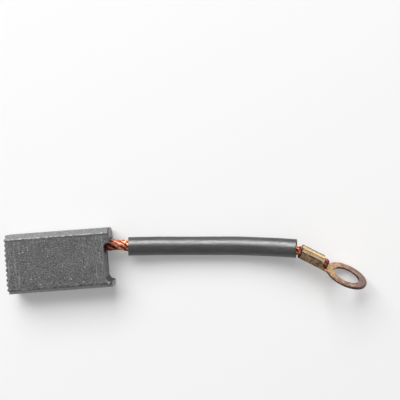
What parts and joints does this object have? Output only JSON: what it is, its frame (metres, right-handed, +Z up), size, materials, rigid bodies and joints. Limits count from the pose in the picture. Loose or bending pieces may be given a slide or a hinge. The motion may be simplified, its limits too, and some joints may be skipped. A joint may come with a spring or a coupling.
{
  "type": "carbon brush",
  "caption": "Block carbon brush with a grooved contact face, a recessed rear end, a stranded copper shunt in an insulating sleeve and a crimped ring terminal.",
  "frame": {"origin": "middle of the underside of the carbon block, where it lies on its broad face", "axes": "+X along the block from the contact face to the lead, +Y towards the ear beside the shunt, +Z up through the thickness"},
  "size_m": [0.0758, 0.0168, 0.0083],
  "materials": {
    "carbon": "pressed and baked electrographite, granular on the broad faces, smoother on the narrow sides",
    "copper": "bare stranded copper rope, slightly tarnished",
    "sleeve": "dark grey extruded sleeving with a satin skin",
    "brass": "stamped brass, toned brown and violet with age, brighter on the folded wings"
  },
  "bodies": {
    "root": {"carbon_block": "carbon", "shunt": "copper", "insulating_sleeve": "sleeve", "ring_terminal": "brass"}
  },
  "joints": []
}
